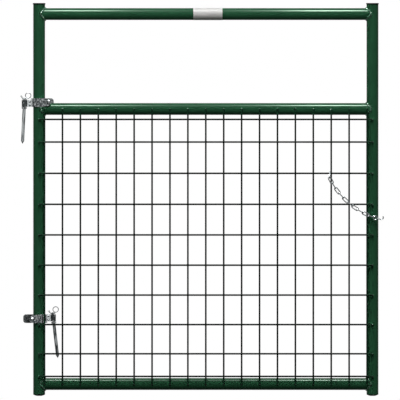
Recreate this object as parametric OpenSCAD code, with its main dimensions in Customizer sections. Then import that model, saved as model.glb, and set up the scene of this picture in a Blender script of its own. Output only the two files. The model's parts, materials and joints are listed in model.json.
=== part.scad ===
// Field gate: welded tube frame with a wire mesh bay, two strap hinges on lag pins
// and a closing chain. Millimetres. The origin is the foot of the hinge post,
// +X runs to the latch post, -Y is the mesh side and +Z is up.

/* [Frame] */
// Overall height, from the foot plugs to the post caps
frame_h = 1320; // [1200:5:1500]
// Distance between the axes of the two posts
post_pitch = 1120; // [800:5:1500]
// Outside diameter of the posts and rails
tube_d = 40; // [36:0.5:44]
// Wall of the tubes
tube_wall = 1.5; // [1.2:0.1:3]
// Drop from the top of the caps to the axis of the top rail
top_rail_drop = 37; // [30:1:80]
// Height of the axis of the mid rail
mid_rail_h = 964; // [850:1:1050]
// Height of the axis of the bottom rail
bottom_rail_h = 40; // [32:1:90]
// Root gap of the welds between the rail ends and the posts
weld_gap = 0.1; // [0.05:0.05:0.5]

/* [Mesh] */
// Diameter of the mesh wires
wire_d = 5.7; // [3:0.1:6]
// Number of vertical wires
columns = 19; // [12:1:24]
// Number of horizontal wires
rows = 10; // [7:1:14]
// Outermost vertical wires, measured from the post axes
column_inset = 18.2; // [16:0.1:30]
// Lowest horizontal wire above the axis of the bottom rail
row_low = 25.5; // [23:0.5:40]
// Highest horizontal wire below the axis of the mid rail
row_high = 35; // [25:0.5:60]
// Narrow row at the bottom and at the top of the mesh
row_end_gap = 76; // [50:1:100]
// How much each row is taller than the row below it
row_growth = 1.2; // [0:0.1:3]
// Gap left where two wires cross or a wire meets a tube
wire_gap = 0.05; // [0.02:0.01:0.2]

/* [Caps, plugs and label] */
// Diameter of the flange of a post cap
cap_d = 42.4; // [40:0.1:48]
// Thickness of the flange of a post cap
cap_t = 4.4; // [3:0.1:8]
// Rounding of the top edge of a post cap
cap_round = 1.2; // [0.4:0.1:2]
// Depth of the stems of caps and plugs inside the posts
stem_l = 18; // [8:1:40]
// Wall of the stems
stem_wall = 2.5; // [1.5:0.1:4]
// Clearance of the stems in the posts
stem_gap = 0.15; // [0.05:0.05:0.5]
// Height of the dome under a foot plug
foot_h = 4.7; // [3:0.1:8]
// Diameter of the flat spot in the middle of a foot plug
foot_flat_d = 14; // [8:0.5:24]
// Length of the label sleeve along the top rail
label_l = 98; // [40:1:200]
// Thickness of the label sleeve
label_t = 0.3; // [0.2:0.05:0.8]
// Middle of the label to the right of the middle of the gate
label_shift = 7; // [-200:1:200]
// Gap between the label and the rail
label_gap = 0.05; // [0.02:0.01:0.2]

/* [Hinge straps] */
// Thickness of the strap bar
strap_t = 2.8; // [2:0.1:4]
// Width of the strap bar round the post
strap_w = 29; // [26:0.5:36]
// Gap between the strap and the post
strap_gap = 0.15; // [0.05:0.05:0.5]
// Slit between the two leaves of the tongue
leaf_slit = 0.4; // [0.2:0.1:1]
// Width of the bar at the eye
eye_w = 23.5; // [18:0.5:26]
// Bore of the eye
eye_bore = 12.6; // [12.2:0.1:15]
// Axis of the eye from the axis of the post
eye_reach = 49.5; // [47:0.5:60]
// Fillet where the tongue runs into the ring round the post
ring_fillet = 5; // [3:0.5:6]
// Fillet where the tongue runs into the eye
eye_fillet = 3; // [1.5:0.5:4]
// End of the front arm from the axis of the post
front_arm = 40; // [37:0.5:50]
// End of the back arm from the axis of the post
back_arm = 49; // [40:0.5:60]
// Rise of the lower edge of the front arm towards its end
arm_rise = 4; // [0:0.5:6]
// Corner cut at the end of the front arm
arm_chamfer = 8; // [4:0.5:9]
// Corner radius at the end of the back arm
arm_round = 9; // [4:0.5:12]
// Upper strap: lower edge below the top of the mid rail
upper_strap_drop = 13; // [4:0.5:13.5]
// Lower strap: height of the upper edge above the foot
lower_strap_h = 274; // [220:1:320]
// Turn of the lower strap about the post, with its eye towards the back
lower_strap_turn = 17; // [10:1:40]

/* [Strap bolts and rivets] */
// Diameter of the strap bolts
bolt_d = 6.3; // [5:0.1:6.5]
// Clearance of the bolts in their holes and nuts
bolt_gap = 0.2; // [0.1:0.05:0.4]
// Axis of a bolt from the axis of the post
bolt_reach = 31; // [28:0.5:32]
// Axis of a bolt above the middle of the bar
bolt_rise = 2.6; // [2.2:0.1:3]
// Diameter of the round bolt head
head_d = 15; // [12:0.5:18]
// Height of the round bolt head
head_h = 4; // [3:0.1:6]
// Width of a nut across its flats
nut_flats = 11; // [10:0.5:13]
// Height of a nut
nut_h = 5.5; // [4:0.1:7]
// Bolt end that stands past the nut
bolt_end = 4; // [1:0.5:8]
// Diameter of the rivets in the tongue
rivet_d = 4; // [3:0.1:5]
// Diameter of the rivet heads
rivet_head_d = 7; // [6:0.1:8]
// Height of the rivet heads
rivet_head_h = 1.8; // [1:0.1:2.5]
// Distance between the two rivets of a tongue
rivet_pitch = 12; // [9:0.5:13]
// Clearance round the rivets
rivet_gap = 0.1; // [0.05:0.05:0.2]

/* [Hinge pins] */
// Diameter of a pin inside its eye
pin_d = 8.8; // [7:0.1:9]
// Height of a pin above its eye
pin_rise = 7; // [6.5:0.5:10]
// Cut of the edge at the top of a pin
pin_edge = 1.1; // [0.4:0.1:1.5]
// Diameter of the collar that the eye rests on
collar_d = 17; // [15:0.5:20]
// Thickness of the collar
collar_t = 5.5; // [3:0.5:8]
// Sloping neck between the shank and the collar
collar_neck = 1; // [0.6:0.1:1.4]
// Diameter of the lag shank
shank_d = 11; // [9:0.5:13]
// Length of the lag shank below the collar
shank_l = 118; // [80:1:125]
// Length of the point of the shank
point_l = 9.5; // [5:0.5:20]
// Gap between the collar and the eye at the nearest spot
seat_gap = 0.3; // [0.2:0.05:0.6]
// Lean of the upper pin in its loose eye, point to the left
upper_lean = 2.8; // [0:0.1:5]
// Lean of the lower pin in its loose eye, point to the right
lower_lean = 6.5; // [0:0.1:7]
// Wire of the pin clips
clip_d = 2.6; // [2:0.1:3]
// Clearance of a clip in the hole of its pin
clip_gap = 0.2; // [0.1:0.05:0.3]
// Outside diameter of the ring of a clip
clip_ring_d = 21; // [16:0.5:22]
// Wire of the two spread legs of a clip
clip_leg_d = 1.9; // [1.4:0.1:2]
// Gap between the two spread legs
clip_leg_gap = 0.1; // [0.05:0.05:0.2]
// Radius of the bends of a clip
clip_elbow_r = 2.1; // [2.05:0.05:2.2]
// Length of the spread legs of a clip
clip_leg_l = 13; // [8:0.5:18]
// Mean slope of the two spread legs
clip_leg_slope = 60; // [35:1:65]
// Angle between the two spread legs
clip_spread = 20; // [10:1:30]

/* [Chain] */
// Wire of the chain links
link_d = 3.5; // [3:0.1:3.8]
// Inside length of a link
link_l = 21.2; // [18:0.1:26]
// Inside width of a link
link_w = 6; // [5.5:0.1:7]
// Number of links between the anchor link and the hook
link_count = 10; // [6:2:12]
// Play between two links
link_play = 0.5; // [0.3:0.1:0.8]
// Play between the anchor link and the first link
anchor_play = 1; // [0.8:0.1:1.4]
// Inside length of the anchor link
anchor_l = 22; // [20:0.5:30]
// Inside width of the anchor link
anchor_w = 8; // [7.6:0.1:10]
// Middle of the anchor link to the left of its vertical wire
anchor_shift = 5; // [5:0.5:20]
// Gap between the widest links and the front of the mesh
chain_gap = 0.6; // [0.4:0.1:3]
// Slope of the first link below the horizontal
chain_slope_top = 62; // [40:1:80]
// Slope of the hook below the horizontal
chain_slope_end = 16; // [0:1:30]
// Radius of the eye of the hook, to the middle of its wire
hook_eye_r = 6.2; // [5.5:0.1:8]
// Extra radius of the wire of the eye of the hook
hook_eye_extra = 0.15; // [0.1:0.05:0.3]
// Straight shank of the hook, from its eye to its bend
hook_shank_l = 13; // [8:0.5:30]
// Radius of the open bend of the hook, to the middle of its wire
hook_bend_r = 6.5; // [5.5:0.1:10]
// Angle that the open bend of the hook turns through
hook_bend_turn = 150; // [100:5:200]

/* [Hidden] */
$fn = 64;

green = "#234a32";
wire_green = "#15231b";
zinc = "#a9adad";
black = "#151515";
// Overlap of a cutting shape past the faces that it cuts
past = 1;

tube_r = tube_d / 2;
tube_bore_r = tube_r - tube_wall;
top_rail_h = frame_h - top_rail_drop;

// Mesh: the vertical wires lie on the rails and the horizontal wires lie on them
column_y = -tube_r - wire_gap - wire_d / 2;
row_y = column_y - wire_d - wire_gap;
mesh_front_y = row_y - wire_d / 2;
column_pitch = (post_pitch - 2 * column_inset) / (columns - 1);
first_row_z = bottom_rail_h + row_low;
last_row_z = mid_rail_h - row_high;
inner_gaps = rows - 3;
inner_span = last_row_z - first_row_z - 2 * row_end_gap;
inner_gap = inner_span / inner_gaps - row_growth * (inner_gaps - 1) / 2;
function column_x(i) = column_inset + i * column_pitch;
function inner_row_z(j) = first_row_z + row_end_gap + j * inner_gap + row_growth * j * (j - 1) / 2;
function row_z(j) = j == 0 ? first_row_z : j == rows - 1 ? last_row_z : inner_row_z(j - 1);

// Foot plug: the dome is part of a ball that passes the flat spot and the tube's edge
foot_flat_r = foot_flat_d / 2;
foot_ball_z = (tube_r * tube_r + foot_h * foot_h - foot_flat_r * foot_flat_r) / (2 * foot_h);
foot_ball_r = sqrt(foot_flat_r * foot_flat_r + foot_ball_z * foot_ball_z);
stem_r = tube_bore_r - stem_gap;

// Strap
ring_ri = tube_r + strap_gap;
ring_ro = ring_ri + strap_t;
eye_ri = eye_bore / 2;
eye_ro = eye_ri + strap_t;
leaf_y = leaf_slit / 2 + strap_t;
upper_strap_z = mid_rail_h + tube_r - upper_strap_drop;
bolt_z = strap_w / 2 + bolt_rise;
head_ball_r = (head_d * head_d / 4 + head_h * head_h) / (2 * head_h);
rivet_x = -(ring_ro + eye_reach - eye_ro) / 2;
rivet_ball_r = (rivet_head_d * rivet_head_d / 4 + rivet_head_h * rivet_head_h) / (2 * rivet_head_h);

// Pins
pin_r = pin_d / 2;
clip_r = clip_d / 2;
clip_hole_r = clip_r + clip_gap;
clip_ring_r = clip_ring_d / 2 - clip_r;
clip_leg_r = clip_leg_d / 2;
// Bends of a clip to each side of the pin, and the middle of its ring above the right one
clip_arm = pin_r + clip_gap + clip_elbow_r;
clip_ring_x = clip_arm + clip_ring_r / 2;
clip_ring_z = clip_ring_r + clip_d;

// Chain
link_r = link_d / 2;
link_bend_r = (link_w + link_d) / 2;
anchor_bend_r = (anchor_w + link_d) / 2;
chain_y = mesh_front_y - chain_gap - link_bend_r - link_r;
anchor_x = column_x(columns - 3) - anchor_shift;
anchor_z = row_z(rows - 3);
// Distance from the mesh wire to the middle of the lower bend of the anchor link, and the
// lean that brings that middle over the chain, which hangs from the lowest spot of the bend
anchor_reach = anchor_l + link_r - wire_d / 2 - link_play - anchor_bend_r;
anchor_lean = asin((row_y - chain_y) / anchor_reach);
chain_start = [anchor_x, chain_y, anchor_z - anchor_reach * cos(anchor_lean) - anchor_bend_r];
function link_slope(k) = chain_slope_top + (chain_slope_end - chain_slope_top) * (k - 1) / link_count;
function play_before(k) = k == 1 ? anchor_play : link_play;
function link_step(k) = (link_l - play_before(k)) * [cos(link_slope(k)), 0, -sin(link_slope(k))];
function link_start(k) = k == 1 ? chain_start : link_start(k - 1) + link_step(k - 1);

// Round bar between two points
module bar(from, to, r) {
    run = to - from;
    translate(from)
        rotate([0, acos(run.z / norm(run)), atan2(run.y, run.x)])
            cylinder(h = norm(run), r = r);
}

// Upright tube that stands on the foot plug and ends under the cap
module post(x) {
    color(green)
        translate([x, 0, foot_h])
            difference() {
                cylinder(h = frame_h - cap_t - foot_h, r = tube_r);
                translate([0, 0, -past])
                    cylinder(h = frame_h + past, r = tube_bore_r);
            }
}

// Level tube, coped at both ends to sit against the posts
module rail(z) {
    color(green)
        difference() {
            translate([0, 0, z])
                rotate([0, 90, 0])
                    difference() {
                        cylinder(h = post_pitch, r = tube_r);
                        translate([0, 0, -past])
                            cylinder(h = post_pitch + 2 * past, r = tube_bore_r);
                    }
            for (x = [0, post_pitch])
                translate([x, 0, z - tube_d])
                    cylinder(h = 2 * tube_d, r = tube_r + weld_gap);
        }
}

module mesh_vertical_wires() {
    color(wire_green)
        for (i = [0 : columns - 1])
            translate([column_x(i), column_y, bottom_rail_h])
                cylinder(h = mid_rail_h - bottom_rail_h, d = wire_d, $fn = 24);
}

module mesh_horizontal_wires() {
    color(wire_green)
        for (j = [0 : rows - 1])
            translate([0, row_y, row_z(j)])
                rotate([0, 90, 0])
                    cylinder(h = post_pitch, d = wire_d, $fn = 24);
}

// Hollow stem that holds a cap or plug in its post
module stem() {
    difference() {
        cylinder(h = stem_l, r = stem_r);
        translate([0, 0, -past])
            cylinder(h = stem_l + 2 * past, r = stem_r - stem_wall);
    }
}

module post_cap(x) {
    cap_r = cap_d / 2;
    color(black)
        translate([x, 0, frame_h - cap_t]) {
            rotate_extrude()
                union() {
                    square([cap_r, cap_t - cap_round]);
                    square([cap_r - cap_round, cap_t]);
                    translate([cap_r - cap_round, cap_t - cap_round])
                        circle(r = cap_round);
                }
            translate([0, 0, -stem_l])
                stem();
        }
}

module foot_plug(x) {
    color(black)
        translate([x, 0, 0]) {
            rotate_extrude()
                intersection() {
                    square([tube_r, foot_h]);
                    translate([0, foot_ball_z])
                        circle(r = foot_ball_r);
                }
            translate([0, 0, foot_h])
                stem();
        }
}

// Sleeve of label film round the top rail
module rail_label() {
    label_ri = tube_r + label_gap;
    color("white")
        translate([post_pitch / 2 + label_shift - label_l / 2, 0, top_rail_h])
            rotate([0, 90, 0])
                difference() {
                    cylinder(h = label_l, r = label_ri + label_t);
                    translate([0, 0, -past])
                        cylinder(h = label_l + 2 * past, r = label_ri);
                }
}

// Fillet on both leaves where the tongue runs into a ring at the origin, tongue along -X
module neck_fillet(ring_r, bore_r, fillet) {
    centre_y = leaf_y + fillet;
    centre_x = -sqrt(pow(ring_r + fillet, 2) - centre_y * centre_y);
    touch = [centre_x, centre_y] * ring_r / (ring_r + fillet);
    middle_r = (ring_r + bore_r) / 2;
    for (side = [0, 1])
        mirror([0, side])
            difference() {
                polygon([
                    [centre_x, leaf_slit / 2],
                    [centre_x, leaf_y],
                    touch,
                    touch * middle_r / ring_r,
                    [-middle_r, leaf_slit / 2],
                ]);
                translate([centre_x, centre_y])
                    circle(r = fillet);
            }
}

// Plan of the bent bar without its arms: ring round the left of the post, tongue and eye
module strap_plan() {
    difference() {
        union() {
            difference() {
                circle(r = ring_ro);
                translate([0, -ring_ro - past])
                    square([ring_ro + past, 2 * (ring_ro + past)]);
            }
            translate([-eye_reach, -leaf_y])
                square([eye_reach - ring_ri, 2 * leaf_y]);
            translate([-eye_reach, 0])
                circle(r = eye_ro);
            neck_fillet(ring_ro, ring_ri, ring_fillet);
            translate([-eye_reach, 0])
                mirror([1, 0])
                    neck_fillet(eye_ro, eye_ri, eye_fillet);
        }
        circle(r = ring_ri);
        translate([-eye_reach, 0])
            circle(r = eye_ri);
        translate([-eye_reach, -leaf_slit / 2])
            square([eye_reach, leaf_slit]);
    }
}

// Front arm seen from the front, with a rising lower edge and cut corners
module front_arm_face() {
    polygon([
        [0, 0],
        [front_arm - arm_chamfer, arm_rise],
        [front_arm, arm_rise + arm_chamfer],
        [front_arm, strap_w - arm_chamfer],
        [front_arm - arm_chamfer, strap_w],
        [0, strap_w],
    ]);
}

module back_arm_face() {
    square([back_arm - arm_round, strap_w]);
    translate([0, arm_round])
        square([back_arm, strap_w - 2 * arm_round]);
    for (z = [arm_round, strap_w - arm_round])
        translate([back_arm - arm_round, z])
            circle(r = arm_round);
}

// Strap in its own frame: post axis at the origin, eye at -X, bar from z 0 to strap_w
module strap() {
    step_x = ring_ro + ring_fillet;
    color(zinc)
        difference() {
            union() {
                linear_extrude(strap_w)
                    strap_plan();
                translate([0, -ring_ri, 0])
                    rotate([90, 0, 0])
                        linear_extrude(strap_t)
                            front_arm_face();
                translate([0, ring_ro, 0])
                    rotate([90, 0, 0])
                        linear_extrude(strap_t)
                            back_arm_face();
            }
            translate([-eye_reach - eye_ro - past, -eye_ro - past, eye_w])
                cube([eye_reach + eye_ro + past - step_x, 2 * (eye_ro + past), strap_w]);
            translate([bolt_reach, ring_ro + past, bolt_z])
                rotate([90, 0, 0])
                    cylinder(h = 2 * (ring_ro + past), r = bolt_d / 2 + bolt_gap);
            for (side = [-1, 1])
                translate([rivet_x, leaf_y + past, eye_w / 2 + side * rivet_pitch / 2])
                    rotate([90, 0, 0])
                        cylinder(h = 2 * (leaf_y + past), r = rivet_d / 2 + rivet_gap);
        }
}

// Round head of a bolt or rivet on the plane z 0
module round_head(d, h, ball_r) {
    intersection() {
        translate([0, 0, h - ball_r])
            sphere(r = ball_r);
        cylinder(h = h + past, d = d);
    }
}

// Two rivets through the leaves of the tongue, in the frame of the strap
module strap_rivets() {
    color(zinc)
        for (side = [-1, 1])
            translate([rivet_x, 0, eye_w / 2 + side * rivet_pitch / 2])
                rotate([90, 0, 0]) {
                    translate([0, 0, -leaf_y])
                        cylinder(h = 2 * leaf_y, d = rivet_d);
                    for (end = [0, 1])
                        mirror([0, 0, end])
                            translate([0, 0, leaf_y])
                                round_head(rivet_head_d, rivet_head_h, rivet_ball_r);
                }
}

// Round-headed bolt through both arms, head at the front, in the frame of the strap
module strap_bolt() {
    color(zinc)
        translate([bolt_reach, -ring_ro, bolt_z])
            rotate([90, 0, 0]) {
                round_head(head_d, head_h, head_ball_r);
                translate([0, 0, -2 * ring_ro - nut_h - bolt_end])
                    cylinder(h = 2 * ring_ro + nut_h + bolt_end, d = bolt_d);
            }
}

module strap_nut() {
    color(zinc)
        translate([bolt_reach, ring_ro + nut_h, bolt_z])
            rotate([90, 0, 0])
                difference() {
                    cylinder(h = nut_h, d = nut_flats / cos(30), $fn = 6);
                    translate([0, 0, -past])
                        cylinder(h = nut_h + 2 * past, r = bolt_d / 2 + bolt_gap);
                }
}

// Lag pin in its own frame: middle of the eye at the origin, point down
module hinge_pin(lean) {
    collar_top = -eye_w / 2 - seat_gap - collar_d / 2 * sin(lean);
    collar_low = collar_top - collar_t;
    top = eye_w / 2 + pin_rise;
    color(zinc)
        difference() {
            rotate_extrude()
                polygon([
                    [0, collar_low - shank_l],
                    [shank_d / 2, collar_low - shank_l + point_l],
                    [shank_d / 2, collar_low - collar_neck],
                    [shank_d / 2 + collar_neck, collar_low],
                    [collar_d / 2, collar_low],
                    [collar_d / 2, collar_top],
                    [pin_r, collar_top],
                    [pin_r, top - pin_edge],
                    [pin_r - pin_edge, top],
                    [0, top],
                ]);
            translate([-pin_r - past, 0, eye_w / 2 + pin_rise / 2])
                rotate([0, 90, 0])
                    cylinder(h = 2 * (pin_r + past), r = clip_hole_r);
        }
}

// Ring clip through the head of a pin, with two spread legs, in the frame of the pin
module pin_clip() {
    elbow = [clip_arm, 0, 0];
    ring = [clip_ring_x, 0, clip_ring_z];
    neck = ring + (elbow - ring) * clip_ring_r / norm(elbow - ring);
    color(zinc)
        translate([0, 0, eye_w / 2 + pin_rise / 2]) {
            bar(-elbow, elbow, clip_r);
            for (end = [-elbow, elbow])
                translate(end)
                    sphere(r = clip_elbow_r);
            bar(elbow, neck, clip_leg_r);
            translate(ring)
                rotate([90, 0, 0])
                    rotate_extrude()
                        translate([clip_ring_r, 0])
                            circle(r = clip_r);
            for (side = [-1, 1]) {
                slope = clip_leg_slope + side * clip_spread / 2;
                foot = -elbow + [0, side * (clip_leg_r + clip_leg_gap / 2), 0];
                bar(foot, foot + clip_leg_l * [-cos(slope), 0, sin(slope)], clip_leg_r);
            }
        }
}

// The upper strap holds the mid rail between its arms, with its eye to the left
module at_upper_strap() {
    translate([0, 0, upper_strap_z])
        children();
}

// The lower strap is the same bar turned over, with its eye to the right and back
module at_lower_strap() {
    translate([0, 0, lower_strap_h])
        rotate([0, 0, lower_strap_turn])
            rotate([0, 180, 0])
                children();
}

module at_upper_pin() {
    translate([-eye_reach, 0, upper_strap_z + eye_w / 2])
        rotate([0, upper_lean, 0])
            children();
}

module at_lower_pin() {
    rotate([0, 0, lower_strap_turn])
        translate([eye_reach, 0, lower_strap_h - eye_w / 2])
            rotate([0, 0, -lower_strap_turn])
                rotate([0, -lower_lean, 0])
                    children();
}

// Piece of round wire bent through an arc in the XY plane
module wire_arc(centre, bend_r, from, turn) {
    translate(centre)
        rotate([0, 0, from])
            rotate_extrude(angle = turn)
                translate([bend_r, 0])
                    circle(r = link_r, $fn = 24);
}

// Oval link in the XY plane, long way along X, centred on the origin
module oval_link(inner_l, bend_r) {
    straight = inner_l + link_d - 2 * bend_r;
    for (end = [0, 1])
        mirror([end, 0, 0])
            wire_arc([straight / 2, 0, 0], bend_r, -90, 180);
    for (side = [-1, 1])
        translate([-straight / 2, side * bend_r, 0])
            rotate([0, 90, 0])
                cylinder(h = straight, r = link_r, $fn = 24);
}

// Closed link round a mesh wire, leaning forwards to clear the mesh
module chain_anchor_link() {
    color(zinc)
        translate([anchor_x, row_y, anchor_z])
            rotate([-anchor_lean, 0, 0])
                rotate([0, 90, 0])
                    translate([anchor_reach + anchor_bend_r - (anchor_l + link_d) / 2, 0, 0])
                        oval_link(anchor_l, anchor_bend_r);
}

// Odd links face the front, even links stand edge-on between them
module chain_link(k) {
    color(zinc)
        translate(link_start(k))
            rotate([0, link_slope(k), 0])
                rotate([k % 2 == 1 ? 90 : 0, 0, 0])
                    translate([(link_l - link_d) / 2 - play_before(k), 0, 0])
                        oval_link(link_l, link_bend_r);
}

// Hook at the free end: a closed eye, a straight shank and a bend that opens upwards
module chain_hook() {
    shank_end = hook_eye_r + hook_shank_l;
    color(zinc)
        translate(link_start(link_count + 1))
            rotate([0, link_slope(link_count + 1), 0])
                rotate([90, 0, 0])
                    translate([hook_eye_r - link_d - link_play, 0, 0]) {
                        rotate_extrude()
                            translate([hook_eye_r, 0])
                                circle(r = link_r + hook_eye_extra, $fn = 24);
                        bar([hook_eye_r, 0, 0], [shank_end, 0, 0], link_r);
                        wire_arc([shank_end, hook_bend_r, 0], hook_bend_r, -90, hook_bend_turn);
                    }
}

post(0);  // hinge_post
post(post_pitch);  // latch_post
rail(top_rail_h);  // top_rail
rail(mid_rail_h);  // mid_rail
rail(bottom_rail_h);  // bottom_rail
mesh_vertical_wires();
mesh_horizontal_wires();
post_cap(0);  // hinge_post_cap
post_cap(post_pitch);  // latch_post_cap
foot_plug(0);  // hinge_post_foot
foot_plug(post_pitch);  // latch_post_foot
rail_label();
at_upper_strap() strap();  // upper_strap
at_upper_strap() strap_rivets();  // upper_strap_rivets
at_upper_strap() strap_bolt();  // upper_strap_bolt
at_upper_strap() strap_nut();  // upper_strap_nut
at_upper_pin() hinge_pin(upper_lean);  // upper_hinge_pin
at_upper_pin() pin_clip();  // upper_pin_clip
at_lower_strap() strap();  // lower_strap
at_lower_strap() strap_rivets();  // lower_strap_rivets
at_lower_strap() strap_bolt();  // lower_strap_bolt
at_lower_strap() strap_nut();  // lower_strap_nut
at_lower_pin() hinge_pin(lower_lean);  // lower_hinge_pin
at_lower_pin() pin_clip();  // lower_pin_clip
chain_anchor_link();
for (k = [1 : link_count])
    chain_link(k);
chain_hook();
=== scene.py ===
"""Looks of a field gate: green enamelled tubes, dark wire mesh, zinc plated hinges and chain."""

import json
import math

import bmesh
import bpy
from mathutils import Matrix, Vector


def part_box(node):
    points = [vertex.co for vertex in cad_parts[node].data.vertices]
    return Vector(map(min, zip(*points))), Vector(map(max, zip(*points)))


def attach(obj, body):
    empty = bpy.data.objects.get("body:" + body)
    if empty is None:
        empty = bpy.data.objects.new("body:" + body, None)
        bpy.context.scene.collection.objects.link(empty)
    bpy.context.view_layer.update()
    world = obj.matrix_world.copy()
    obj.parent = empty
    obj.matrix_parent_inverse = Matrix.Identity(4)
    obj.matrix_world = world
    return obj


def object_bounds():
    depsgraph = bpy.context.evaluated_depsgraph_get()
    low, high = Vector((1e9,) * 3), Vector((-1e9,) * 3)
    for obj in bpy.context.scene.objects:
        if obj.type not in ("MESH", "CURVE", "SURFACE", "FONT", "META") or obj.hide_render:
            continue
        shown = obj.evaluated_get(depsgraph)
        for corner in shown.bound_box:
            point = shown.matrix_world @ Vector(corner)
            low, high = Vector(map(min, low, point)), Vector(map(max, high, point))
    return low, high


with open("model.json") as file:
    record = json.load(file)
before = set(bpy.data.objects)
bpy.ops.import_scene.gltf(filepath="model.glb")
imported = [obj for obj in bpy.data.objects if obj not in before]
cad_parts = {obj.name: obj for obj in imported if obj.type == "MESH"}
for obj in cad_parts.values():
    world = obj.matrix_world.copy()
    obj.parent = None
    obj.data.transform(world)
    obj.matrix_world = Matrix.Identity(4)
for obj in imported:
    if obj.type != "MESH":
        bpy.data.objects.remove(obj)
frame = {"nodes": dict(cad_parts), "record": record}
cad_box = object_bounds()

MM = 0.001

# Places read from the frame, in metres
post_low, post_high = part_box("hinge_post")
TUBE_R = (post_high.x - post_low.x) / 2
HINGE_X = (post_low.x + post_high.x) / 2
LATCH_X = sum(corner.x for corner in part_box("latch_post")) / 2
RAIL_Z = {
    name: sum(corner.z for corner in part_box(name)) / 2
    for name in ("top_rail", "mid_rail", "bottom_rail")
}
GATE_MIDDLE = (cad_box[0] + cad_box[1]) / 2
EYES = [
    joint["pos_m"]
    for joint in frame["record"]["behaviour"]["joints"]
    if joint["name"].endswith("pin_turn")
]

# Mesh: the columns are evenly spaced, and each row is a little taller than the row below it
COLUMNS = 19
ROWS = 10
ROW_END_GAP = 76 * MM
ROW_GROWTH = 1.2 * MM
WIRE_R = 2.85 * MM

# Beads between the rails and the posts: ripples with their length and height as shares of their
# radius, and a share of the tube's radius that rounds the sharp turns of the saddle
BEAD_RIPPLES = 54
BEAD_R = 4.2 * MM
BEAD_LENGTH_SHARE = 0.8
BEAD_HEIGHT_SHARE = 0.75
BEAD_ROUND = 0.24

# Weld spots at the ends of the wires
SPOT_R = 3.7 * MM

# Tone of a strap by the distance from the middle of its eye: painted shade round the barrel and a
# painted reflection on the tongue beside it. For each zone, its middle, half its width, and what it
# adds to the tone.
# Heights count for less than distances across the eye.
BARREL_R = 10 * MM
BARREL_PAINTED_SHADE = (BARREL_R / 2, BARREL_R / 2, -0.12)
TONGUE_PAINTED_SHEEN = (20 * MM, 9.5 * MM, 0.2)
EYE_WEIGHTS = (1.0, 1.0, 0.3)

# The photograph is square on: it shows this much of the gate's plane, about this middle
VIEW_SPAN = 1.344
VIEW_X = 0.5405
VIEW_Z = 0.6582
CAMERA_AWAY = 6.0

# Studio, in metres: the floor, and the place and depth of the strips that make the highlights
FLOOR_R = 9.0
STRIP_Y = -0.65
STRIP_Z = 2.6
STRIP_DEPTH = 0.12


def linear(hex_colour):
    """Scene-linear colour of an sRGB hex value."""
    parts = [int(hex_colour[i:i + 2], 16) / 255 for i in (1, 3, 5)]
    return [c / 12.92 if c <= 0.04045 else ((c + 0.055) / 1.055) ** 2.4 for c in parts] + [1.0]


def add(tree, kind, inputs=None, **settings):
    """Add a node, set its properties, and fill its inputs with values or other nodes' outputs."""
    made = tree.nodes.new(kind)
    for name, value in settings.items():
        setattr(made, name, value)
    for name, value in (inputs or {}).items():
        if isinstance(value, bpy.types.NodeSocket):
            tree.links.new(value, made.inputs[name])
        else:
            made.inputs[name].default_value = value
    return made


def new_finish(name):
    """Empty node material, with the Object coordinates that its patterns are laid out in."""
    material = bpy.data.materials.new(name)
    material.use_nodes = True
    tree = material.node_tree
    tree.nodes.clear()
    place = add(tree, "ShaderNodeTexCoord").outputs["Object"]
    return material, tree, place


def close_finish(tree, surface):
    """Connect the finished shader to the material's output."""
    add(tree, "ShaderNodeOutputMaterial", {"Surface": surface.outputs[0]})


def per_metre(size_mm):
    """Texture scale that makes a pattern's features about this many millimetres wide."""
    return 1 / (size_mm * MM)


# Enamel baked on steel tube: smooth and hard, with a faint waviness that breaks up long highlights.
# The real waves are 2 to 3 mm wide; they are drawn 14 mm wide to show in the render.
def tube_enamel():
    material, tree, place = new_finish("dark_green_tube_enamel")
    mottle = add(tree, "ShaderNodeTexNoise", {
        "Vector": place,
        "Scale": per_metre(70),
        "Detail": 3.0,
    })
    colour = add(tree, "ShaderNodeMix", {
        "Factor": mottle.outputs["Fac"],
        "A": linear("#2b5d40"),
        "B": linear("#316847"),
    }, data_type="RGBA")
    waves = add(tree, "ShaderNodeTexNoise", {
        "Vector": place,
        "Scale": per_metre(14),
        "Detail": 2.0,
    })
    relief = add(tree, "ShaderNodeBump", {
        "Height": waves.outputs["Fac"],
        "Strength": 0.02,
        "Distance": 0.3 * MM,
    })
    paint = add(tree, "ShaderNodeBsdfPrincipled", {
        "Base Color": colour.outputs["Result"],
        "Roughness": 0.24,
        "Specular IOR Level": 0.03,
        "Specular Tint": linear("#daffe6"),
        "Normal": relief.outputs["Normal"],
    })
    close_finish(tree, paint)
    return material


# Weld metal under the same enamel: glossy ripples, with paler spots that are painted glints on the
# lumps.
def weld_enamel():
    material, tree, place = new_finish("enamel_over_weld")
    pits = add(tree, "ShaderNodeTexNoise", {
        "Vector": place,
        "Scale": per_metre(4),
        "Detail": 2.0,
    })
    # Paler spots: painted glints, laid out by the same noise as the relief
    painted_glint_spots = add(tree, "ShaderNodeMapRange", {
        "Value": pits.outputs["Fac"],
        "From Min": 0.42,
        "From Max": 0.62,
    })
    colour = add(tree, "ShaderNodeMix", {
        "Factor": painted_glint_spots.outputs["Result"],
        "A": linear("#14301f"),
        "B": linear("#629a7c"),
    }, data_type="RGBA")
    relief = add(tree, "ShaderNodeBump", {
        "Height": pits.outputs["Fac"],
        "Strength": 0.5,
        "Distance": 0.4 * MM,
    })
    paint = add(tree, "ShaderNodeBsdfPrincipled", {
        "Base Color": colour.outputs["Result"],
        "Roughness": 0.15,
        "Specular IOR Level": 0.2,
        "Specular Tint": linear("#daffe6"),
        "Normal": relief.outputs["Normal"],
    })
    close_finish(tree, paint)
    return material


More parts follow.
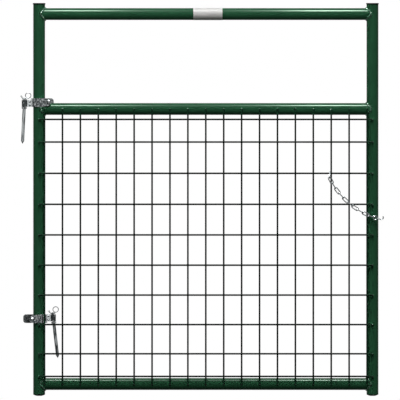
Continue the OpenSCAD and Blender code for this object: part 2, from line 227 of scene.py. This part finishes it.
# Drawn steel wire dipped in a nearly black green paint, with thin spots along it. The ends that lie
# on the tubes were sprayed over together with the frame, so they carry its lighter green.
def wire_paint():
    material, tree, place = new_finish("dipped_wire_paint")
    thin = add(tree, "ShaderNodeTexNoise", {
        "Vector": place,
        "Scale": per_metre(30),
        "Detail": 3.0,
    })
    dipped = add(tree, "ShaderNodeMix", {
        "Factor": thin.outputs["Fac"],
        "A": linear("#060d09"),
        "B": linear("#0e1d14"),
    }, data_type="RGBA")
    axes = add(tree, "ShaderNodeSeparateXYZ", {"Vector": place})
    beside = add(tree, "ShaderNodeMath", {
        0: axes.outputs["X"],
        1: (HINGE_X + LATCH_X) / 2,
        2: (LATCH_X - HINGE_X) / 2 - TUBE_R,
    }, operation="COMPARE")
    between = add(tree, "ShaderNodeMath", {
        0: axes.outputs["Z"],
        1: (RAIL_Z["bottom_rail"] + RAIL_Z["mid_rail"]) / 2,
        2: (RAIL_Z["mid_rail"] - RAIL_Z["bottom_rail"]) / 2 - TUBE_R,
    }, operation="COMPARE")
    free_span = add(tree, "ShaderNodeMath", {
        0: beside.outputs[0],
        1: between.outputs[0],
    }, operation="MULTIPLY")
    colour = add(tree, "ShaderNodeMix", {
        "Factor": free_span.outputs[0],
        "A": linear("#1a3d2a"),
        "B": dipped.outputs["Result"],
    }, data_type="RGBA")
    rough = add(tree, "ShaderNodeMapRange", {
        "Value": thin.outputs["Fac"],
        "To Min": 0.4,
        "To Max": 0.6,
    })
    paint = add(tree, "ShaderNodeBsdfPrincipled", {
        "Base Color": colour.outputs["Result"],
        "Roughness": rough.outputs["Result"],
        "Specular IOR Level": 0.01,
    })
    close_finish(tree, paint)
    return material


# Zinc plate on bent steel: bright where it has been rubbed, grey and dull in patches. A strap has
# painted shade round the barrel of its eye, and a painted reflection that lightens the tongue
# beside the eye.
def zinc_plate(name, eyes):
    material, tree, place = new_finish(name)
    patches = add(tree, "ShaderNodeTexNoise", {
        "Vector": place,
        "Scale": per_metre(5),
        "Detail": 4.0,
    })
    wear_and_painted_light = patches.outputs["Fac"]
    for eye in eyes:
        offset = add(tree, "ShaderNodeVectorMath", {0: place, 1: eye}, operation="SUBTRACT")
        weighed = add(tree, "ShaderNodeVectorMath", {
            0: offset.outputs["Vector"],
            1: EYE_WEIGHTS,
        }, operation="MULTIPLY")
        away = add(tree, "ShaderNodeVectorMath", {0: weighed.outputs["Vector"]}, operation="LENGTH")
        # Painted shade darkens the barrel of the eye, a painted reflection lightens the tongue
        for middle, half, change in (BARREL_PAINTED_SHADE, TONGUE_PAINTED_SHEEN):
            zone = add(tree, "ShaderNodeMath", {
                0: away.outputs["Value"],
                1: middle,
                2: half,
            }, operation="COMPARE")
            changed = add(tree, "ShaderNodeMath", {
                0: zone.outputs[0],
                1: change,
                2: wear_and_painted_light,
            }, operation="MULTIPLY_ADD")
            wear_and_painted_light = changed.outputs[0]
    # The dark end of the ramp also carries the painted shade, the light end the painted reflection
    colour = add(tree, "ShaderNodeValToRGB", {"Fac": wear_and_painted_light})
    dull_and_shade, rubbed_and_sheen = colour.color_ramp.elements
    dull_and_shade.position = 0.36
    dull_and_shade.color = linear("#2a2d2e")
    rubbed_and_sheen.position = 0.7
    rubbed_and_sheen.color = linear("#b4b8b9")
    plain = colour.color_ramp.elements.new(0.5)
    plain.color = linear("#4c5051")
    rough = add(tree, "ShaderNodeMapRange", {
        "Value": patches.outputs["Fac"],
        "From Min": 0.35,
        "From Max": 0.65,
        "To Min": 0.48,
        "To Max": 0.22,
    })
    grain = add(tree, "ShaderNodeTexNoise", {
        "Vector": place,
        "Scale": per_metre(1.5),
        "Detail": 2.0,
    })
    relief = add(tree, "ShaderNodeBump", {
        "Height": grain.outputs["Fac"],
        "Strength": 0.35,
        "Distance": 0.2 * MM,
    })
    plate = add(tree, "ShaderNodeBsdfPrincipled", {
        "Base Color": colour.outputs["Color"],
        "Metallic": 1.0,
        "Roughness": rough.outputs["Result"],
        "Normal": relief.outputs["Normal"],
    })
    close_finish(tree, plate)
    return material


# Zinc plate on drawn bar: brighter and smoother than on the straps, with dull and bright streaks
# along it that are drawing marks and also painted lengthwise reflections.
def drawn_zinc():
    material, tree, place = new_finish("zinc_on_drawn_bar")
    along = add(tree, "ShaderNodeMapping", {"Vector": place, "Scale": (1.0, 1.0, 0.07)})
    # Streaks along the bar: drawing marks, and also painted lengthwise reflections
    streaks_and_painted_reflections = add(tree, "ShaderNodeTexNoise", {
        "Vector": along.outputs["Vector"],
        "Scale": per_metre(3.5),
        "Detail": 2.0,
    })
    colour = add(tree, "ShaderNodeValToRGB", {"Fac": streaks_and_painted_reflections.outputs["Fac"]})
    dull_and_shade, bright = colour.color_ramp.elements
    dull_and_shade.position = 0.44
    dull_and_shade.color = linear("#303435")
    bright.position = 0.62
    bright.color = linear("#aaaeaf")
    plate = add(tree, "ShaderNodeBsdfPrincipled", {
        "Base Color": colour.outputs["Color"],
        "Metallic": 1.0,
        "Roughness": 0.3,
    })
    close_finish(tree, plate)
    return material


# Moulded polyethylene: black and waxy, with the fine spark grain of its mould.
def moulded_black():
    material, tree, place = new_finish("moulded_black_polyethylene")
    grain = add(tree, "ShaderNodeTexNoise", {
        "Vector": place,
        "Scale": per_metre(1.2),
        "Detail": 2.0,
    })
    colour = add(tree, "ShaderNodeMix", {
        "Factor": grain.outputs["Fac"],
        "A": linear("#040404"),
        "B": linear("#0d0e0e"),
    }, data_type="RGBA")
    relief = add(tree, "ShaderNodeBump", {
        "Height": grain.outputs["Fac"],
        "Strength": 0.3,
        "Distance": 0.1 * MM,
    })
    plastic = add(tree, "ShaderNodeBsdfPrincipled", {
        "Base Color": colour.outputs["Result"],
        "Roughness": 0.5,
        "Specular IOR Level": 0.02,
        "Normal": relief.outputs["Normal"],
    })
    close_finish(tree, plastic)
    return material


# White vinyl film wrapped round the rail: satin, with faint ripples where it was smoothed down.
def label_vinyl():
    material, tree, place = new_finish("white_label_vinyl")
    ripple = add(tree, "ShaderNodeTexNoise", {
        "Vector": place,
        "Scale": per_metre(18),
        "Detail": 2.0,
    })
    colour = add(tree, "ShaderNodeMix", {
        "Factor": ripple.outputs["Fac"],
        "A": linear("#e4e3e1"),
        "B": linear("#f3f2f0"),
    }, data_type="RGBA")
    relief = add(tree, "ShaderNodeBump", {
        "Height": ripple.outputs["Fac"],
        "Strength": 0.2,
        "Distance": 0.2 * MM,
    })
    film = add(tree, "ShaderNodeBsdfPrincipled", {
        "Base Color": colour.outputs["Result"],
        "Roughness": 0.4,
        "Specular IOR Level": 0.05,
        "Normal": relief.outputs["Normal"],
    })
    close_finish(tree, film)
    return material


def seen_rays(tree):
    """One for what the camera sees, straight or in a reflection, and zero for light on surfaces."""
    ray = add(tree, "ShaderNodeLightPath")
    mirrored = add(tree, "ShaderNodeMath", {
        0: ray.outputs["Is Glossy Ray"],
        1: ray.outputs["Is Transmission Ray"],
    }, operation="MAXIMUM")
    seen = add(tree, "ShaderNodeMath", {
        0: ray.outputs["Is Camera Ray"],
        1: mirrored.outputs[0],
    }, operation="MAXIMUM")
    return seen.outputs[0]


# Sealed concrete floor of a studio: pale, matt, slightly cloudy, running out to white. It throws
# little light back up, so that the undersides of the tubes stay dark.
def studio_floor():
    material, tree, place = new_finish("pale_studio_floor")
    cloud = add(tree, "ShaderNodeTexNoise", {
        "Vector": place,
        "Scale": per_metre(600),
        "Detail": 3.0,
    })
    pale = add(tree, "ShaderNodeMix", {
        "Factor": cloud.outputs["Fac"],
        "A": linear("#969694"),
        "B": linear("#a2a2a0"),
    }, data_type="RGBA")
    seen = seen_rays(tree)
    colour = add(tree, "ShaderNodeMix", {
        "Factor": seen,
        "A": linear("#303030"),
        "B": pale.outputs["Result"],
    }, data_type="RGBA")
    away = add(tree, "ShaderNodeVectorMath", {0: place}, operation="LENGTH")
    white = add(tree, "ShaderNodeMapRange", {
        "Value": away.outputs["Value"],
        "From Min": 1.0,
        "From Max": 0.9 * FLOOR_R,
        "To Min": 0.55,
        "To Max": 1.0,
    })
    glow = add(tree, "ShaderNodeMath", {0: white.outputs["Result"], 1: seen}, operation="MULTIPLY")
    matt = add(tree, "ShaderNodeBsdfPrincipled", {
        "Base Color": colour.outputs["Result"],
        "Roughness": 0.9,
        "Specular IOR Level": 0.0,
        "Emission Color": linear("#ffffff"),
        "Emission Strength": glow.outputs[0],
    })
    close_finish(tree, matt)
    return material


def make_piece(name, shape, finish, body):
    """Turn a bmesh into a smooth piece that rides on a body."""
    bmesh.ops.recalc_face_normals(shape, faces=shape.faces)
    for face in shape.faces:
        face.smooth = True
    mesh = bpy.data.meshes.new(name)
    shape.to_mesh(mesh)
    shape.free()
    mesh.materials.append(finish)
    piece = bpy.data.objects.new(name, mesh)
    bpy.context.scene.collection.objects.link(piece)
    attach(piece, body)


def add_blob(shape, middle, radii, turn=Matrix.Identity(3)):
    """Add one rounded lump of weld metal, its three radii along the axes of a turned frame."""
    lump = bmesh.ops.create_uvsphere(shape, u_segments=8, v_segments=6, radius=1.0)
    place = Matrix.Translation(middle) @ turn.to_4x4() @ Matrix.Diagonal((*radii, 1.0))
    bmesh.ops.transform(shape, matrix=place, verts=lump["verts"])


def weld_bead(post_x, rail_z, side, finish, name):
    """Stack of overlapping ripples along the saddle where a rail ends on a post."""
    shape = bmesh.new()
    radii = (BEAD_R * BEAD_LENGTH_SHARE, BEAD_R, BEAD_R * BEAD_HEIGHT_SHARE)
    for k in range(BEAD_RIPPLES):
        t = math.tau * (k + 0.5) / BEAD_RIPPLES
        rise, front = math.sin(t), math.cos(t)
        across = side * math.hypot(rise, BEAD_ROUND)
        middle = Vector((post_x, 0, rail_z)) + TUBE_R * Vector((across, -front, rise))
        run = Vector((side * front * math.copysign(1, rise), rise, front)).normalized()
        # Outward is between the outward ways of the post and of the rail, square to the run
        out = Vector((across, -front, 0)) + Vector((0, -front, rise))
        out = (out - run * out.dot(run)).normalized()
        turn = Matrix((run, out.cross(run), out)).transposed()
        add_blob(shape, middle, radii, turn)
    make_piece(name, shape, finish, "gate_frame")


def column_places():
    """Places along x of the upright wires."""
    low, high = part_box("mesh_vertical_wires")
    first, last = low.x + WIRE_R, high.x - WIRE_R
    return [first + (last - first) * i / (COLUMNS - 1) for i in range(COLUMNS)]


def row_places():
    """Heights of the level wires: a narrow gap at each end, and growing gaps between them."""
    low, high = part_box("mesh_horizontal_wires")
    first, last = low.z + WIRE_R, high.z - WIRE_R
    gaps = ROWS - 3  # without the two narrow ones
    lowest_gap = (last - first - 2 * ROW_END_GAP) / gaps - ROW_GROWTH * (gaps - 1) / 2
    inner = [
        first + ROW_END_GAP + j * lowest_gap + ROW_GROWTH * j * (j - 1) / 2
        for j in range(gaps + 1)
    ]
    return [first, *inner, last]


def wire_end_welds(finish):
    """Lumps of weld that hold the wires' ends to the rails and to the posts."""
    on_rails = bmesh.new()
    for x in column_places():
        for rail in ("mid_rail", "bottom_rail"):
            middle = Vector((x, -TUBE_R - WIRE_R / 2, RAIL_Z[rail]))
            add_blob(on_rails, middle, (SPOT_R, SPOT_R, SPOT_R))
    make_piece("wire_welds_on_rails", on_rails, finish, "gate_frame")
    on_posts = bmesh.new()
    wire_y = sum(corner.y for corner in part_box("mesh_horizontal_wires")) / 2
    reach = (-TUBE_R - wire_y) / 2 + WIRE_R
    for z in row_places():
        for x in (HINGE_X, LATCH_X):
            middle = Vector((x, (wire_y - TUBE_R) / 2, z))
            add_blob(on_posts, middle, (SPOT_R, reach, SPOT_R))
    make_piece("wire_welds_on_posts", on_posts, finish, "gate_frame")


def dress_nodes(finishes, own_finishes):
    """Give each solid of the frame its own finish, or else that of its material slot."""
    for part in frame["record"]["subparts"]:
        finish = own_finishes.get(part["node"], finishes[part["material_slot"]])
        frame["nodes"][part["node"]].material_slots[0].material = finish


def make_floor(finish):
    """Round studio floor under the gate."""
    shape = bmesh.new()
    bmesh.ops.create_circle(shape, cap_ends=True, segments=96, radius=FLOOR_R)
    mesh = bpy.data.meshes.new("floor")
    shape.to_mesh(mesh)
    shape.free()
    mesh.materials.append(finish)
    floor = bpy.data.objects.new("floor", mesh)
    bpy.context.scene.collection.objects.link(floor)


def area_light(name, place, aim, size, watts, glossy):
    """Softbox aimed at a point: a glossy one makes only highlights, the others none."""
    lamp = bpy.data.lights.new(name, "AREA")
    lamp.shape = "RECTANGLE"
    lamp.size, lamp.size_y = size
    lamp.energy = watts
    light = bpy.data.objects.new(name, lamp)
    light.location = place
    light.rotation_euler = (Vector(aim) - Vector(place)).to_track_quat("-Z", "Y").to_euler()
    light.visible_camera = False
    light.visible_glossy = glossy
    light.visible_diffuse = not glossy
    bpy.context.scene.collection.objects.link(light)


def make_world():
    """White surround for the camera and for reflections, a dim even fill for everything else."""
    world = bpy.data.worlds.new("studio")
    bpy.context.scene.world = world
    world.use_nodes = True
    tree = world.node_tree
    tree.nodes.clear()
    fill = add(tree, "ShaderNodeBackground", {"Color": linear("#ffffff"), "Strength": 0.025})
    white = add(tree, "ShaderNodeBackground", {"Color": linear("#ffffff"), "Strength": 1.0})
    mix = add(tree, "ShaderNodeMixShader", {
        0: seen_rays(tree),
        1: fill.outputs[0],
        2: white.outputs[0],
    })
    add(tree, "ShaderNodeOutputWorld", {"Surface": mix.outputs[0]})


def make_camera():
    """Camera square on to the gate, without perspective."""
    lens = bpy.data.cameras.new("camera")
    lens.type = "ORTHO"
    lens.ortho_scale = VIEW_SPAN
    camera = bpy.data.objects.new("camera", lens)
    camera.location = (VIEW_X, -CAMERA_AWAY, VIEW_Z)
    camera.rotation_euler = (math.radians(90), 0, 0)
    bpy.context.scene.collection.objects.link(camera)
    bpy.context.scene.camera = camera


make_camera()
make_world()
make_floor(studio_floor())
area_light(
    "key_softbox", place=(0.5, -3.85, 6.56), aim=GATE_MIDDLE,
    size=(2.4, 8.0), watts=440, glossy=False,
)
area_light(
    "rear_softbox", place=(0.6, 3.0, 1.5), aim=GATE_MIDDLE,
    size=(1.6, 0.6), watts=30, glossy=False,
)
# The strips stand over the ends of the rails, where the highlights are
for strip, strip_x, strip_width, strip_watts in (
    ("left_strip", 0.115, 0.12, 185),
    ("right_strip", 0.985, 0.22, 275),
):
    area_light(
        strip, place=(strip_x, STRIP_Y, STRIP_Z), aim=(strip_x, 0, RAIL_Z["mid_rail"]),
        size=(strip_width, STRIP_DEPTH), watts=strip_watts, glossy=True,
    )

weld_finish = weld_enamel()
strap_zinc = zinc_plate("zinc_on_strap", EYES)
pin_zinc = drawn_zinc()
dress_nodes({
    "green_paint": tube_enamel(),
    "mesh_paint": wire_paint(),
    "black_plastic": moulded_black(),
    "label_film": label_vinyl(),
    "zinc_steel": zinc_plate("zinc_plate", ()),
}, {
    "upper_strap": strap_zinc,
    "lower_strap": strap_zinc,
    "upper_hinge_pin": pin_zinc,
    "lower_hinge_pin": pin_zinc,
})
for rail, rail_z in RAIL_Z.items():
    weld_bead(HINGE_X, rail_z, 1, weld_finish, f"{rail}_hinge_post_weld")
    weld_bead(LATCH_X, rail_z, -1, weld_finish, f"{rail}_latch_post_weld")
wire_end_welds(weld_finish)

bpy.context.scene.view_settings.view_transform = "Standard"
